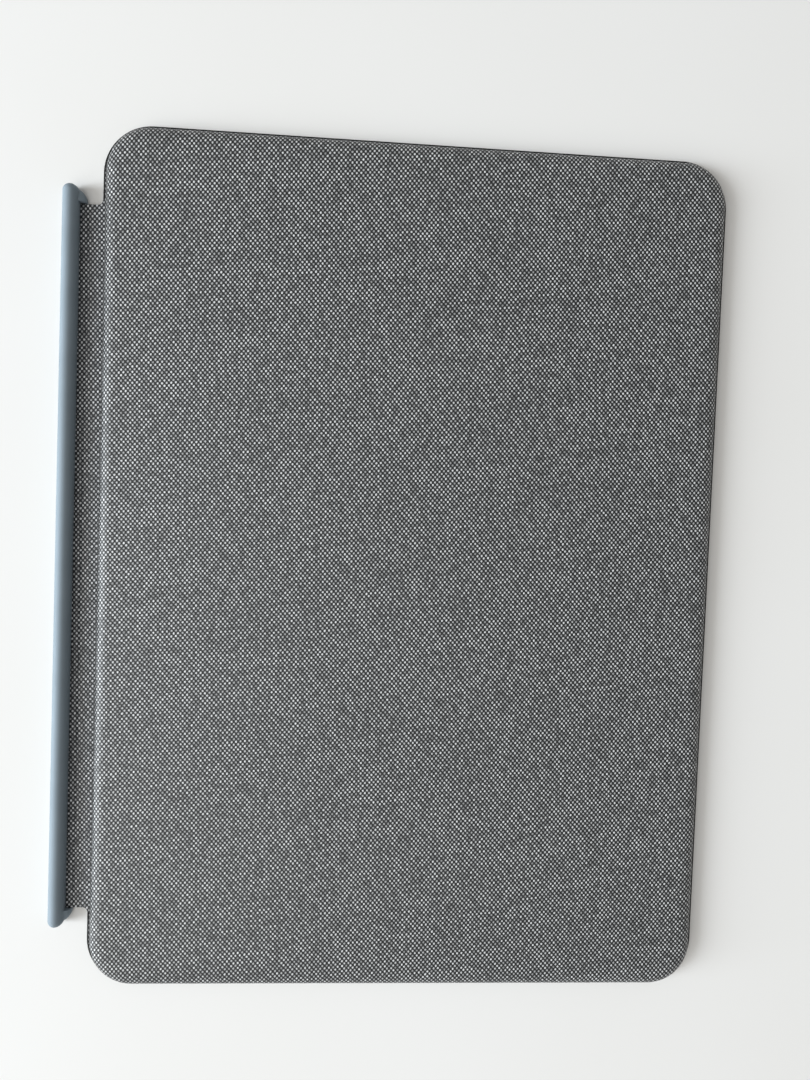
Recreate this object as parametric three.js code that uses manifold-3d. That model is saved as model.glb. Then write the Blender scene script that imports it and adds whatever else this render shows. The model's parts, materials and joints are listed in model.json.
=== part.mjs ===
// Tablet keyboard cover: a fabric-covered keyboard panel, a flexible fabric neck and a magnetic spine
// that clips to the long edge of a tablet and carries its contact pins.
//
// Millimetres, +Z up. The cover lies flat with its woven back up and its keys facing down:
// X runs from the spine (-X) to the front edge (+X), Y runs along the keyboard, and Z = 0 is the
// surface it lies on. The origin is the middle of the whole cover's footprint.
import * as THREE from 'three';
import { mergeVertices } from 'three/addons/utils/BufferGeometryUtils.js';
import Module from 'manifold-3d';

const wasm = await Module();
wasm.setup();

// ---------------------------------------------------------------- driving dimensions

// Panel
const panelLength = 252; // Y
const panelDepth = 184; // X, from the hinge edge to the front edge
const panelThickness = 5.8;
const cornerRadius = 14;
const flangeWidth = 1.5; // bonded rim that runs round the crown of the back
const crownRadius = 2.5; // roundover of the back
const skin = 0.45; // woven fabric and its backing
const bondGap = 0.2; // between the two skins: adhesive film, and the flat cable in the neck
const glue = 0.05; // between stacked layers
const slack = 0.2; // round a piece that sits in a pocket

// Neck and spine
const neckLength = 205.6; // Y
const neckReach = 4.45; // from the panel's hinge edge to the spine's lip
const hingeClearance = 0.1;
const spineReach = 10.7; // from the panel's hinge edge to the spine's outer face
const spineLength = 215.3; // Y, over the rounded ends
const spineHeight = 5.9;
const barrelWidth = 4.5;
const spineWall = 0.72;
const lipHeight = 0.45;
const lipEndHeight = 1.3;
const lipEndRadius = 4.4;
const lipShortfall = 0.3; // the lip ends this far short of the spine's rounded end
const shoulderHeight = 4.4; // where the slope at the lip's ends meets the barrel
const faceThickness = 0.9;
const contactPitch = 3.2;
const contactCount = 3;
const contactRadius = 0.6;
const contactTipHeight = 0.1; // the tips stay this far inside the mating face
const contactLength = 2.2;
const contactTravel = 0.4;
const contactRecessDepth = 0.4;
const magnetLength = 30;
const magnetHeight = 2.3;
const magnetSpots = [-80, -38, 38, 80]; // Y

// Keys. A unit is one key pitch along Y; rows are stacked along X.
const keyPitch = 17;
const rowPitch = 17;
const functionRowPitch = 9.5;
const keyGap = 2.6;
const stackGap = 0.6; // between the two half-depth caps that share one cell
const keyTravel = 1.0;
const keyTop = 0.25; // the caps stay this far inside the deck, so they clear the screen and the table
const keyHeight = 1.85;
const keyBevel = 0.4;
const capCorner = 1.6;
const rowWebHeight = 0.3;
const rowWebDepth = 4;
const keyClearance = 0.35; // round each cap, in the key web
const wellMargin = 1.2; // from the outermost caps to the edge of the well
const wellFloor = 1.2; // depth of the well
const keyFieldInset = 8; // from the hinge edge to the first row's cell

// Trackpad
const trackpadLength = 108; // Y
const trackpadDepth = 66; // X
const trackpadInset = 8.6; // from the front edge
const trackpadCorner = 4;
const trackpadSink = 0.15;
const trackpadGlass = 0.8;
const trackpadBoardThickness = 0.8;
const trackpadTravel = 0.3;
const trackpadClearance = 0.4;

// Inner layers
const webThickness = 0.4;
const domeSheetThickness = 0.2;
const membraneThickness = 0.2;
const supportThickness = 0.4;
const lightGuideThickness = 0.25;
const backPlateThickness = 0.5;
const cableThickness = 0.12;
const cableWidth = 16;
const boardThickness = 0.8;
const arcSegments = 4;

// ---------------------------------------------------------------- derived places

const laminate = 2 * skin + bondGap; // thickness of rim and neck
const foldRadius = laminate / 2; // the hinge lines lie in the middle of the laminate
const foldGap = foldRadius + hingeClearance;
const hingeEdge = -panelDepth / 2; // X of the hinge edge in the panel's own frame
const panelShift = spineReach / 2; // brings the middle of the whole footprint to X = 0
const neckWidth = neckReach - foldGap; // between the two hinge lines

const frameBottom = skin + glue;
const webBottom = wellFloor + glue;
const capBase = keyTop + keyHeight;
const domeBase = capBase + keyTravel + slack;
const membraneBottom = domeBase + domeSheetThickness + glue;
const supportBottom = membraneBottom + membraneThickness + glue;
const lightGuideBottom = supportBottom + supportThickness + glue;
const backPlateBottom = panelThickness - skin - 2 * glue - backPlateThickness;
const cableLevel = lightGuideBottom + lightGuideThickness + glue;
const deckPlateTop = wellFloor;
const frameInset = flangeWidth + skin + 7 * glue;
const frameTop = backPlateBottom - 2 * glue;
const frameWall = 3;
const frameRib = 2;

// The rows from the hinge edge to the front edge. Widths are in units, from the left hand (+Y) to the right (-Y).
// A run of equal caps is one strip; every cap with a size of its own is a piece of its own.
const rows = [
  { half: true, keys: [['row_function', 1, 14]] },
  { keys: [['key_grave', 0.7], ['row_numbers', 1, 12], ['key_delete', 1.3]] },
  { keys: [['key_tab', 1.3], ['row_upper_letters', 1, 12], ['key_backslash', 0.7]] },
  { keys: [['key_caps_lock', 1.6], ['row_home_letters', 1, 11], ['key_return', 1.4]] },
  { keys: [['key_shift_left', 2.1], ['row_lower_letters', 1, 10], ['key_shift_right', 1.9]] },
  {
    keys: [
      ['key_globe', 1], ['key_control', 1], ['key_option_left', 1], ['key_command_left', 1.2],
      ['key_space', 5], ['key_command_right', 1.2], ['key_option_right', 1],
      ['key_arrow_left', 0.87], [['key_arrow_up', 'key_arrow_down'], 0.87], ['key_arrow_right', 0.86],
    ],
  },
];
const unitsAcross = 14;
const fieldLength = unitsAcross * keyPitch;
const fieldDepth = functionRowPitch + (rows.length - 1) * rowPitch;
const fieldBack = hingeEdge + keyFieldInset;
const fieldMiddle = fieldBack + fieldDepth / 2;
const wellLength = fieldLength - keyGap + 2 * wellMargin;
const wellDepth = fieldDepth - keyGap + 2 * wellMargin;
const moduleLength = wellLength + 2.4;
const moduleDepth = wellDepth + 2.4;
const moduleCorner = 2;

const trackpadMiddle = panelDepth / 2 - trackpadInset - trackpadDepth / 2;
const trackpadWall = 2;
const palmMiddle = (trackpadLength + panelLength) / 4; // Y, halfway from the trackpad to the panel's end
const trackpadBoardBottom = trackpadSink + trackpadGlass + glue;
const switchHeight = 1.0;
const switchBottom = trackpadBoardBottom + trackpadBoardThickness + trackpadTravel + 2 * glue;
const bracketThickness = 0.6;
const bracketBottom = switchBottom + switchHeight + glue;

// ---------------------------------------------------------------- materials

const finishes = {
  woven_fabric: new THREE.MeshStandardMaterial({ color: 0x6b6e70, roughness: 0.95, metalness: 0 }),
  spine_polymer: new THREE.MeshStandardMaterial({ color: 0x5f6b76, roughness: 0.55, metalness: 0 }),
  key_plastic: new THREE.MeshStandardMaterial({ color: 0x3f454b, roughness: 0.6, metalness: 0 }),
  well_plastic: new THREE.MeshStandardMaterial({ color: 0x50575e, roughness: 0.65, metalness: 0 }),
  frame_plastic: new THREE.MeshStandardMaterial({ color: 0x24272a, roughness: 0.7, metalness: 0 }),
  trackpad_surface: new THREE.MeshStandardMaterial({ color: 0x565d64, roughness: 0.4, metalness: 0 }),
  sheet_metal: new THREE.MeshStandardMaterial({ color: 0xb4b8bb, roughness: 0.4, metalness: 1 }),
  spring_steel: new THREE.MeshStandardMaterial({ color: 0x9a9c9e, roughness: 0.35, metalness: 1 }),
  magnet_nickel: new THREE.MeshStandardMaterial({ color: 0xc7c5bf, roughness: 0.2, metalness: 1 }),
  circuit_board: new THREE.MeshStandardMaterial({ color: 0x1f3d2c, roughness: 0.5, metalness: 0 }),
  chip_epoxy: new THREE.MeshStandardMaterial({ color: 0x17181a, roughness: 0.6, metalness: 0 }),
  cable_film: new THREE.MeshStandardMaterial({ color: 0x9c5a24, roughness: 0.45, metalness: 0 }),
  clear_film: new THREE.MeshStandardMaterial({ color: 0xdfe6e8, roughness: 0.25, metalness: 0 }),
  silicone: new THREE.MeshStandardMaterial({ color: 0xe6e4de, roughness: 0.7, metalness: 0 }),
  contact_gold: new THREE.MeshStandardMaterial({ color: 0xd9ae57, roughness: 0.25, metalness: 1 }),
};

// ---------------------------------------------------------------- shape helpers

function toSolid(geometry) {
  const source = geometry.index ? geometry.toNonIndexed() : geometry;
  const bare = new THREE.BufferGeometry().setAttribute('position', source.getAttribute('position'));
  const merged = mergeVertices(bare, 1e-4);
  const corners = merged.index.array;
  const kept = [];
  for (let i = 0; i < corners.length; i += 3) {
    const [a, b, c] = corners.subarray(i, i + 3);
    if (a !== b && b !== c && a !== c) kept.push(a, b, c);
  }
  return new wasm.Manifold(new wasm.Mesh({
    numProp: 3,
    vertProperties: merged.attributes.position.array,
    triVerts: new Uint32Array(kept),
  }));
}

function toGeometry(shape) {
  const { vertProperties, triVerts } = shape.getMesh();
  const geometry = new THREE.BufferGeometry()
    .setAttribute('position', new THREE.BufferAttribute(new Float32Array(vertProperties), 3))
    .setIndex(new THREE.BufferAttribute(new Uint32Array(triVerts), 1));
  geometry.computeVertexNormals();
  return geometry;
}

function piece(name, shape, finish, position = [0, 0, 0]) {
  const mesh = new THREE.Mesh(toGeometry(shape), finishes[finish]);
  mesh.name = name;
  mesh.position.set(...position);
  return mesh;
}

function block([x0, x1], [y0, y1], [z0, z1]) {
  const box = new THREE.BoxGeometry(x1 - x0, y1 - y0, z1 - z0);
  return toSolid(box.translate((x0 + x1) / 2, (y0 + y1) / 2, (z0 + z1) / 2));
}

function roundedRectangle(width, length, radius) {
  const [x, y] = [width / 2 - radius, length / 2 - radius];
  const outline = new THREE.Shape();
  outline.absarc(x, y, radius, 0, Math.PI / 2);
  outline.absarc(-x, y, radius, Math.PI / 2, Math.PI);
  outline.absarc(-x, -y, radius, Math.PI, 1.5 * Math.PI);
  outline.absarc(x, -y, radius, 1.5 * Math.PI, 2 * Math.PI);
  outline.closePath();
  return outline;
}

function slab(outline, [z0, z1], segments = arcSegments) {
  const options = { depth: z1 - z0, bevelEnabled: false, curveSegments: segments };
  return toSolid(new THREE.ExtrudeGeometry(outline, options).translate(0, 0, z0));
}

// A rounded plate centred on (x, y).
function plate(width, length, radius, levels, x = 0, y = 0, segments = arcSegments) {
  return slab(roundedRectangle(width, length, radius), levels, segments).translate([x, y, 0]);
}

// A rounded plate whose upper edge is rounded over.
function crownedPlate(width, length, radius, [z0, z1], roundover) {
  const geometry = new THREE.ExtrudeGeometry(roundedRectangle(width, length, radius), {
    depth: z1 - z0 - roundover,
    bevelThickness: roundover,
    bevelSize: roundover,
    bevelOffset: -roundover,
    bevelSegments: 4,
    curveSegments: arcSegments,
  });
  const below = block([-width, width], [-length, length], [z0 - 2 * roundover, z0]);
  return toSolid(geometry.translate(0, 0, z0)).subtract(below);
}

// A capsule along Y.
function capsule(radius, length, x, z) {
  const geometry = new THREE.CapsuleGeometry(radius, length - 2 * radius, 5, 16);
  return toSolid(geometry.translate(x, 0, z));
}

// ---------------------------------------------------------------- the panel's skins and frame

// What the rim leaves free along the hinge line, so that the neck can turn there.
function neckRelief(levels) {
  const reach = neckLength / 2 + slack;
  return block([hingeEdge - 1, hingeEdge + foldGap], [-reach, reach], levels);
}

function backFabric() {
  const rimLevels = [laminate - skin, laminate];
  const rim = plate(panelDepth, panelLength, cornerRadius, rimLevels);
  const inset = (by) => [panelDepth - 2 * by, panelLength - 2 * by, cornerRadius - by];
  const crown = crownedPlate(...inset(flangeWidth), [rimLevels[0], panelThickness], crownRadius);
  const inside = crownedPlate(
    ...inset(flangeWidth + skin), [rimLevels[0] - 1, panelThickness - skin], crownRadius - skin);
  return rim.add(crown).subtract(inside).subtract(neckRelief([0, laminate + 1]));
}

function deckOpenings(levels, grow = 0) {
  const well = plate(wellDepth + 2 * grow, wellLength + 2 * grow, 3 + grow, levels, fieldMiddle);
  const pad = plate(
    trackpadDepth + 2 * (trackpadClearance + grow), trackpadLength + 2 * (trackpadClearance + grow),
    trackpadCorner + trackpadClearance + grow, levels, trackpadMiddle);
  return well.add(pad);
}

function deckFabric() {
  return plate(panelDepth, panelLength, cornerRadius, [0, skin])
    .subtract(deckOpenings([-1, skin + 1]))
    .subtract(neckRelief([-1, skin + 1]));
}

// Slot through the frame in which the flat cable drops from the back of the key module to the rim.
const cableDrop = hingeEdge + frameInset + 2.6;
const cableTurn = fieldMiddle + moduleDepth / 2 + 3;
function cableSlot() {
  const half = cableWidth / 2 + slack;
  const passage = block([hingeEdge, cableDrop + slack], [-half, half], [0, laminate - skin + slack]);
  const drop = block([cableDrop - slack - cableThickness, cableDrop + slack], [-half, half], [0, panelThickness]);
  const over = block([cableDrop - slack - cableThickness, cableTurn + cableWidth], [-half, half],
    [cableLevel - glue, panelThickness]);
  return passage.add(drop).add(over);
}

// Where the controller board stands, left of the trackpad.
const boardLength = 44;
const boardDepth = 26;
const boardY = palmMiddle - 3;
const boardX = trackpadMiddle - 6;
const boardBottom = cableLevel - glue - boardThickness - 0.15;
const boardPostRadius = 1.5;
const boardPosts = [-1, 1].flatMap((i) => [-1, 1].map((j) => [
  boardX + i * (boardDepth / 2 - 3), boardY + j * (boardLength / 2 - 3)]));

function deckFrame() {
  const radius = cornerRadius - frameInset;
  const step = 1.2; // the top of the wall steps in under the crown's roundover
  const [width, length] = [panelDepth - 2 * frameInset, panelLength - 2 * frameInset];
  const wall = plate(width, length, radius, [frameBottom, frameTop - 0.8])
    .add(plate(width - 2 * step, length - 2 * step, radius - step, [frameBottom, frameTop]));
  const module = plate(moduleDepth + 2 * slack, moduleLength + 2 * slack, moduleCorner,
    [deckPlateTop, panelThickness], fieldMiddle);
  const palmBack = fieldMiddle + moduleDepth / 2 + slack + frameRib;
  const palmFront = panelDepth / 2 - frameInset - frameWall;
  const palm = plate(palmFront - palmBack, panelLength - 2 * (frameInset + frameWall), radius - frameWall,
    [deckPlateTop, panelThickness], (palmFront + palmBack) / 2);
  const padWall = plate(
    trackpadDepth + 2 * (trackpadClearance + trackpadWall),
    trackpadLength + 2 * (trackpadClearance + trackpadWall),
    trackpadCorner + trackpadWall, [frameBottom, bracketBottom - glue], trackpadMiddle);
  const posts = boardPosts.map(([x, y]) =>
    toSolid(new THREE.CylinderGeometry(boardPostRadius, boardPostRadius, boardBottom - glue - frameBottom, 12)
      .rotateX(Math.PI / 2).translate(x, y, (boardBottom - glue + frameBottom) / 2)));
  return posts.reduce((all, post) => all.add(post), wall.subtract(module).subtract(palm).add(padWall))
    .subtract(deckOpenings([0, panelThickness]))
    .subtract(cableSlot());
}

function backPlate() {
  const inset = flangeWidth + crownRadius + slack;
  return plate(panelDepth - 2 * inset, panelLength - 2 * inset, cornerRadius - inset,
    [backPlateBottom, backPlateBottom + backPlateThickness]);
}

// ---------------------------------------------------------------- the key module

// Every cap as {name, x, y, depth, length}, with x and y its middle in the panel's frame.
function capPlaces() {
  const places = [];
  let rowStart = fieldBack;
  for (const { half, keys } of rows) {
    const pitch = half ? functionRowPitch : rowPitch;
    let unit = 0;
    for (const [name, units, count = 1] of keys) {
      for (let i = 0; i < count; i++) {
        const y = fieldLength / 2 - (unit + units / 2) * keyPitch;
        const length = units * keyPitch - keyGap;
        const middle = rowStart + pitch / 2;
        if (Array.isArray(name)) {
          const depth = (pitch - keyGap - stackGap) / 2;
          name.forEach((each, n) => places.push({
            name: each, x: middle + (n - 0.5) * (depth + stackGap), y, depth, length }));
        } else {
          places.push({ name, x: middle, y, depth: pitch - keyGap, length });
        }
        unit += units;
      }
    }
    rowStart += pitch;
  }
  return places;
}
const caps = capPlaces();

// One cap, its middle at the origin and its finger side at Z = 0.
function keycap(depth, length) {
  const outline = roundedRectangle(depth, length, Math.min(capCorner, depth / 3));
  const bevelled = new THREE.ExtrudeGeometry(outline, {
    depth: keyHeight,
    bevelThickness: keyBevel,
    bevelSize: keyBevel,
    bevelOffset: -keyBevel,
    bevelSegments: 1,
    curveSegments: 1,
  });
  return toSolid(bevelled.translate(0, 0, keyBevel)).trimByPlane([0, 0, -1], -keyHeight);
}

// A strip of equal caps on the thin web that joins them under the deck.
function keyPieces() {
  const named = Map.groupBy(caps, (cap) => cap.name);
  return [...named].map(([name, members]) => {
    const [first, last] = [members[0], members.at(-1)];
    const [x, y] = [first.x, (first.y + last.y) / 2];
    let shape = wasm.Manifold.union(members.map((cap) =>
      keycap(cap.depth, cap.length).translate([0, cap.y - y, 0])));
    if (members.length > 1) {
      const reach = (first.y - last.y) / 2;
      const web = Math.min(rowWebDepth, first.depth / 2) / 2;
      shape = shape.add(block([-web, web], [-reach, reach], [keyHeight - rowWebHeight, keyHeight]));
    }
    return piece(name, shape, 'key_plastic', [x, y, keyTop]);
  });
}

function moduleSheet(bottom, thickness) {
  return plate(moduleDepth, moduleLength, moduleCorner, [bottom, bottom + thickness], fieldMiddle, 0, 2);
}

function keyWeb() {
  const around = (middle, size) => [middle - size / 2 - keyClearance, middle + size / 2 + keyClearance];
  const holes = caps.map(({ x, y, depth, length }) =>
    block(around(x, depth), around(y, length), [webBottom - 1, webBottom + webThickness + 1]));
  return moduleSheet(webBottom, webThickness).subtract(wasm.Manifold.union(holes));
}

function domeSheet() {
  const height = domeBase - capBase - glue;
  const [foot, crown] = [2.4, 1.4];
  const sides = 4;
  const domes = caps.map(({ x, y, depth }) => {
    const scale = Math.min(1, depth / (2 * foot + 1));
    return toSolid(new THREE.CylinderGeometry(foot * scale, crown * scale, height + domeSheetThickness / 2, sides)
      .rotateX(Math.PI / 2).translate(x, y, capBase + glue + (height + domeSheetThickness / 2) / 2));
  });
  return wasm.Manifold.union(domes).add(moduleSheet(domeBase, domeSheetThickness));
}

// ---------------------------------------------------------------- the trackpad

function trackpadSurface() {
  return plate(trackpadDepth, trackpadLength, trackpadCorner, [0, trackpadGlass]);
}

function trackpadBoard() {
  const margin = 3;
  return plate(trackpadDepth - 2 * margin, trackpadLength - 2 * margin, 1, [0, trackpadBoardThickness], 0, 0, 2);
}

function trackpadBracket() {
  const overlap = trackpadClearance + trackpadWall;
  const window = 14; // lightening windows either side of the switch
  const blank = plate(trackpadDepth + 2 * overlap, trackpadLength + 2 * overlap, 2, [0, bracketThickness], 0, 0, 2);
  return [-1, 1].reduce((sheet, side) => sheet.subtract(
    plate(trackpadDepth - 2 * window, trackpadLength / 2 - 2 * window, 3,
      [-1, bracketThickness + 1], 0, side * trackpadLength / 4, 3)), blank);
}

function trackpadSwitch() {
  const body = 4.6;
  return plate(body, body, 0.5, [switchHeight * 0.3, switchHeight], 0, 0, 1)
    .add(toSolid(new THREE.CylinderGeometry(1.1, 1.1, switchHeight, 12).rotateX(Math.PI / 2)
      .translate(0, 0, switchHeight / 2)));
}

// ---------------------------------------------------------------- electronics and magnets in the panel

function controllerBoard() {
  const connector = block([-boardDepth / 2 + 1, -boardDepth / 2 + 5], [-boardLength / 2 + 3, -boardLength / 2 + 21],
    [boardThickness - glue, boardThickness + 0.12]);
  return plate(boardDepth, boardLength, 1, [0, boardThickness], 0, 0, 2).add(connector);
}

function controllerChip() {
  return plate(9, 9, 0.4, [0, 0.9], 0, 0, 1);
}

// The flat cable: from the controller across the back of the key module, down to the rim and out to the hinge line.
function panelCable() {
  const half = cableWidth / 2;
  const boardEnd = boardY - boardLength / 2 + 4;
  const level = [cableLevel, cableLevel + cableThickness];
  const outLevel = (laminate - cableThickness) / 2;
  return block([cableDrop - cableThickness, cableTurn + cableWidth], [-half, half], level)
    .add(block([cableTurn, cableTurn + cableWidth], [-half, boardEnd + cableWidth], level))
    .add(block([cableDrop - cableThickness, cableDrop], [-half, half], [outLevel, level[1]]))
    .add(block([hingeEdge + foldGap, cableDrop], [-half, half], [outLevel, outLevel + cableThickness]));
}

const closureMagnetSize = [4, 22, 2.4];
const wakeMagnetSize = [3, 8, 2.4];
function barMagnet([x, y, z]) {
  return plate(x, y, 0.4, [0, z], 0, 0, 1);
}

// ---------------------------------------------------------------- the neck

// The neck's laminate, round at both hinge lines, with X = 0 on the panel's hinge line.
function neckLaminate() {
  const outline = new THREE.Shape();
  outline.absarc(0, 0, foldRadius, -Math.PI / 2, Math.PI / 2);
  outline.absarc(-neckWidth, 0, foldRadius, Math.PI / 2, 1.5 * Math.PI);
  outline.closePath();
  const geometry = new THREE.ExtrudeGeometry(outline, { depth: neckLength, bevelEnabled: false, curveSegments: 6 });
  return toSolid(geometry.rotateX(Math.PI / 2).translate(0, neckLength / 2, foldRadius));
}

function neckLayer(levels) {
  return neckLaminate().intersect(block([-2 * neckReach, neckReach], [-neckLength, neckLength], levels));
}

function neckCable() {
  const level = (laminate - cableThickness) / 2;
  return block([-neckWidth, 0], [-cableWidth / 2, cableWidth / 2], [level, level + cableThickness]);
}

// ---------------------------------------------------------------- the spine, with X = 0 on the panel's hinge edge

const barrelRadius = barrelWidth / 2;
const barrelX = -spineReach + barrelRadius;
const cavity = [-spineReach + spineWall, -spineReach + barrelWidth - spineWall];
const cavityTop = spineHeight - 0.9;
const cavityLength = spineLength - 2 * barrelRadius - 3;
const tabEnd = cavity[1] + 0.35; // the neck's fabric stops here, tucked under the barrel's side
const fitted = (gap) => [cavity[0] + gap, cavity[1] - gap];

function spineShell() {
  const length = spineLength;
  const bead = capsule(barrelRadius, length, barrelX, spineHeight - barrelRadius);
  const base = plate(barrelWidth, length, barrelRadius * 0.98, [0, spineHeight - barrelRadius], barrelX);
  const lipDepth = 2 * lipEndRadius + barrelWidth; // only the part beyond the barrel's middle is kept
  const lipOutline = (height) => plate(
    lipDepth, length - 2 * lipShortfall, lipEndRadius, [0, height], -neckReach - lipDepth / 2);
  const lip = lipOutline(lipEndHeight).intersect(block([barrelX, 0], [-length, length], [0, lipEndHeight]));
  // Beyond the neck the barrel slopes down to the lip in one shoulder at each end.
  const slope = new THREE.Shape([
    new THREE.Vector2(barrelX + 0.1, 0.2), new THREE.Vector2(-neckReach, 0.2),
    new THREE.Vector2(-neckReach, lipEndHeight), new THREE.Vector2(barrelX + barrelRadius / 2, shoulderHeight),
    new THREE.Vector2(barrelX + 0.1, shoulderHeight)]);
  const shoulders = toSolid(new THREE.ExtrudeGeometry(slope, { depth: length, bevelEnabled: false })
    .rotateX(Math.PI / 2).translate(0, length / 2, 0))
    .intersect(lipOutline(spineHeight))
    .subtract(block([-spineReach, 0], [-neckLength / 2 - slack, neckLength / 2 + slack], [-1, spineHeight]));
  const tabSeat = block([tabEnd - glue, 0], [-neckLength / 2 - slack, neckLength / 2 + slack],
    [lipHeight, laminate + slack]);
  const hollow = block(cavity, [-cavityLength / 2, cavityLength / 2], [-1, cavityTop]);
  const half = cableWidth / 2 + slack;
  const cablePass = block([cavity[1] - slack, tabEnd + slack], [-half, half], [lipHeight, cavityTop]);
  return bead.add(base).add(lip).add(shoulders).subtract(tabSeat).subtract(hollow).subtract(cablePass);
}

const contactSpots = Array.from({ length: contactCount }, (_, i) => (i - (contactCount - 1) / 2) * contactPitch);
const contactBore = contactRadius + hingeClearance;

function contactBores(levels) {
  const [z0, z1] = levels;
  return wasm.Manifold.union(contactSpots.map((y) =>
    toSolid(new THREE.CylinderGeometry(contactBore, contactBore, z1 - z0, 16)
      .rotateX(Math.PI / 2).translate(barrelX, y, (z0 + z1) / 2))));
}

function spineFace() {
  const recess = plate(2 * contactBore + 0.6, 2 * contactBore + (contactCount - 1) * contactPitch + 1.6, 0.6,
    [-1, contactRecessDepth], barrelX, 0, 3);
  return block(fitted(glue), [-cavityLength / 2 + glue, cavityLength / 2 - glue], [0, faceThickness])
    .subtract(recess)
    .subtract(contactBores([-1, faceThickness + 1]));
}

const blockBottom = faceThickness + glue;
const blockHeight = 2.35;
const blockLength = 16;
function contactBlock() {
  return block(fitted(0.1), [-blockLength / 2, blockLength / 2], [blockBottom, blockBottom + blockHeight])
    .subtract(contactBores([blockBottom - 1, blockBottom + blockHeight - 0.3]));
}

// The contacts' flat cable: over the block, down beside it and out over the lip.
function spineCable() {
  const half = cableWidth / 2;
  const top = blockBottom + blockHeight + glue;
  const out = (laminate - cableThickness) / 2;
  const side = cavity[1] + 0.05;
  return block([cavity[0] + 0.3, side + cableThickness], [-half, half], [top, top + cableThickness])
    .add(block([side, side + cableThickness], [-half, half], [out, top + cableThickness]))
    .add(block([side, -neckReach - glue], [-half, half], [out, out + cableThickness]));
}

function spineBar() {
  const bottom = blockBottom + blockHeight + 2 * glue + cableThickness + 0.1;
  return block(fitted(0.15), [-cavityLength / 2 + 1, cavityLength / 2 - 1], [bottom, cavityTop - glue]);
}

function spineTab() {
  return block([tabEnd, -neckReach], [-neckLength / 2, neckLength / 2], [laminate - skin, laminate]);
}

// Round contact pin with a domed tip, its tip at Z = 0.
function contactPin() {
  const outline = [new THREE.Vector2(0, 0)];
  const steps = 3;
  for (let i = 1; i <= steps; i++) {
    const turn = (i / steps) * (Math.PI / 2);
    outline.push(new THREE.Vector2(contactRadius * Math.sin(turn), 0.3 * (1 - Math.cos(turn))));
  }
  outline.push(new THREE.Vector2(contactRadius, contactLength), new THREE.Vector2(0, contactLength));
  return toSolid(new THREE.LatheGeometry(outline, 12).rotateX(Math.PI / 2));
}

// ---------------------------------------------------------------- assembly

function keyboardPanel() {
  const panel = new THREE.Group();
  const padLevel = (level) => [trackpadMiddle, 0, level];
  const magnetX = panelDepth / 2 - frameInset - 8;
  panel.add(
    piece('back_fabric', backFabric(), 'woven_fabric'),
    piece('back_plate', backPlate(), 'sheet_metal'),
    piece('deck_fabric', deckFabric(), 'woven_fabric'),
    piece('deck_frame', deckFrame(), 'frame_plastic'),
    piece('key_web', keyWeb(), 'well_plastic'),
    piece('dome_sheet', domeSheet(), 'silicone'),
    piece('membrane_sheet', moduleSheet(membraneBottom, membraneThickness), 'clear_film'),
    piece('support_plate', moduleSheet(supportBottom, supportThickness), 'sheet_metal'),
    piece('light_guide', moduleSheet(lightGuideBottom, lightGuideThickness), 'clear_film'),
    piece('trackpad_surface', trackpadSurface(), 'trackpad_surface', padLevel(trackpadSink)),
    piece('trackpad_board', trackpadBoard(), 'circuit_board', padLevel(trackpadBoardBottom)),
    piece('trackpad_switch', trackpadSwitch(), 'chip_epoxy', padLevel(switchBottom)),
    piece('trackpad_bracket', trackpadBracket(), 'spring_steel', padLevel(bracketBottom)),
    piece('controller_board', controllerBoard(), 'circuit_board', [boardX, boardY, boardBottom]),
    piece('controller_chip', controllerChip(), 'chip_epoxy', [boardX, boardY, boardBottom - glue - 0.9]),
    piece('panel_cable', panelCable(), 'cable_film'),
    piece('closure_magnet_left', barMagnet(closureMagnetSize), 'magnet_nickel',
      [magnetX, palmMiddle + 4, deckPlateTop + glue]),
    piece('closure_magnet_right', barMagnet(closureMagnetSize), 'magnet_nickel',
      [magnetX, -palmMiddle - 4, deckPlateTop + glue]),
    piece('wake_magnet', barMagnet(wakeMagnetSize), 'magnet_nickel',
      [magnetX, 20 - palmMiddle, deckPlateTop + glue]),
    ...keyPieces(),
  );
  return panel;
}

function neck() {
  const group = new THREE.Group();
  group.position.x = hingeEdge;
  group.add(
    piece('neck_fabric', neckLayer([laminate - skin, laminate]), 'woven_fabric'),
    piece('neck_liner', neckLayer([0, skin]), 'woven_fabric'),
    piece('neck_cable', neckCable(), 'cable_film'),
  );
  return group;
}

function spine() {
  const group = new THREE.Group();
  group.position.x = hingeEdge;
  group.add(
    piece('spine_shell', spineShell(), 'spine_polymer'),
    piece('spine_face', spineFace(), 'spine_polymer'),
    piece('spine_bar', spineBar(), 'spring_steel'),
    piece('spine_fabric_tab', spineTab(), 'woven_fabric'),
    piece('contact_block', contactBlock(), 'frame_plastic'),
    piece('contact_cable', spineCable(), 'cable_film'),
    ...magnetSpots.map((y, i) => piece(`spine_magnet_${i + 1}`,
      barMagnet([cavity[1] - cavity[0] - 0.3, magnetLength, magnetHeight]), 'magnet_nickel',
      [barrelX, y, faceThickness + glue])),
    ...contactSpots.map((y, i) => piece(`contact_pin_${i + 1}`, contactPin(), 'contact_gold',
      [barrelX, y, contactTipHeight])),
  );
  return group;
}

const cover = new THREE.Group();
cover.position.x = panelShift;
cover.add(keyboardPanel(), neck(), spine());

export default cover;
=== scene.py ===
import json
import math

import bmesh
import bpy
from mathutils import Matrix, Vector


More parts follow.
